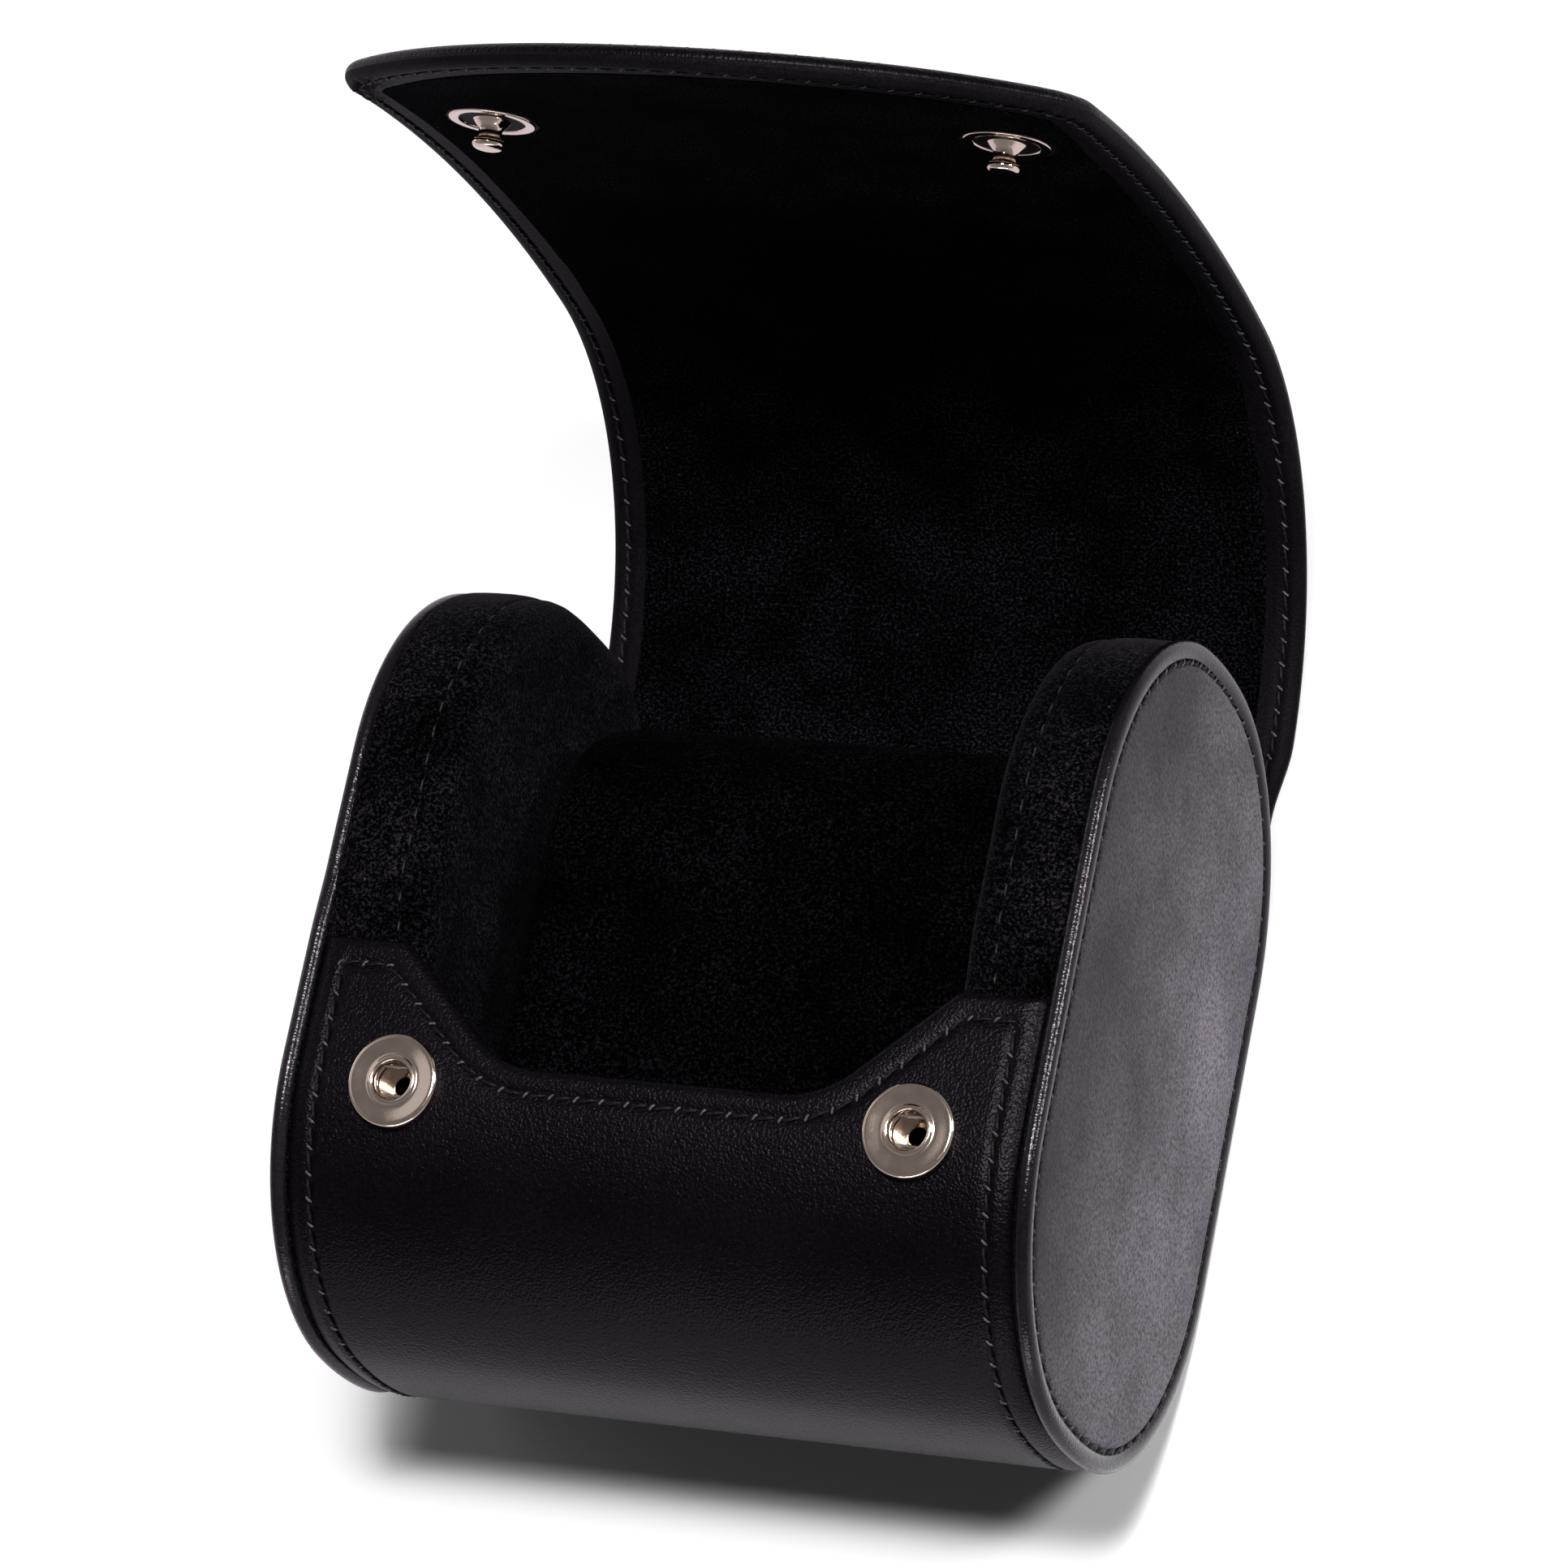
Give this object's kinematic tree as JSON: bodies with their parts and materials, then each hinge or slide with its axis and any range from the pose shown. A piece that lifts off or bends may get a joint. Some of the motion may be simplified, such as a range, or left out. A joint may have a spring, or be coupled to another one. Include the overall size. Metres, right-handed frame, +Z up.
{
  "type": "leather travel roll",
  "caption": "Oval leather travel roll with velvet-lined end caps, a scooped front panel, a lift-out pillow and a folding lid that closes on spring snaps.",
  "frame": {"origin": "the middle of the flat back, on which the roll lies", "axes": "X runs from cap to cap, to the right with the front panel up and the lid away; Y along the oval towards the lid's root; Z up from the back to the front panel"},
  "size_m": [0.0952, 0.1419, 0.1313],
  "materials": {
    "smooth_leather": "satin, smooth grain",
    "matte_leather": "matte, napped",
    "velvet": "short pile",
    "board": "pressed fibre board",
    "foam": "open-cell foam",
    "nickel": "polished nickel plate",
    "spring_steel": "drawn wire"
  },
  "bodies": {
    "case": {"wrap_leather": "smooth_leather", "left_cap_disc": "matte_leather", "left_cap_board": "board", "left_cap_core": "foam", "left_cap_band": "velvet", "left_cap_lining": "velvet", "left_socket": "nickel", "left_upper_spring": "spring_steel", "left_lower_spring": "spring_steel", "left_eyelet": "nickel", "right_cap_disc": "matte_leather", "right_cap_board": "board", "right_cap_core": "foam", "right_cap_band": "velvet", "right_cap_lining": "velvet", "right_socket": "nickel", "right_upper_spring": "spring_steel", "right_lower_spring": "spring_steel", "right_eyelet": "nickel", "wrap_board": "board", "wrap_lining": "velvet", "pillow_cover": "velvet", "pillow_core": "foam"},
    "hinge_strip": {"hinge_leather": "smooth_leather", "hinge_lining": "velvet"},
    "lid": {"lid_leather": "smooth_leather", "lid_board": "board", "lid_lining": "velvet"},
    "flap": {"flap_leather": "smooth_leather", "flap_board": "board", "flap_lining": "velvet", "left_stud": "nickel", "left_stud_rivet": "nickel", "right_stud": "nickel", "right_stud_rivet": "nickel"}
  },
  "joints": [
    {"name": "lid_root", "type": "hinge", "parent": "case", "child": "hinge_strip", "pos_m": [0, 0.02755, 0.0028], "axis": [1, 0, 0], "range_deg": [0, 22.8]},
    {"name": "lid_shoulder", "type": "hinge", "parent": "hinge_strip", "child": "lid", "pos_m": [0, 0.04415, 0.0028], "axis": [1, 0, 0], "range_deg": [0, 34.2]},
    {"name": "flap_fold", "type": "hinge", "parent": "lid", "child": "flap", "pos_m": [0, 0.08853, 0.03921], "axis": [1, 0, 0], "range_deg": [0, 29.6]}
  ],
  "couplings": [
    {"joint": "lid_shoulder", "follows": "lid_root", "ratio": 1.5}
  ]
}
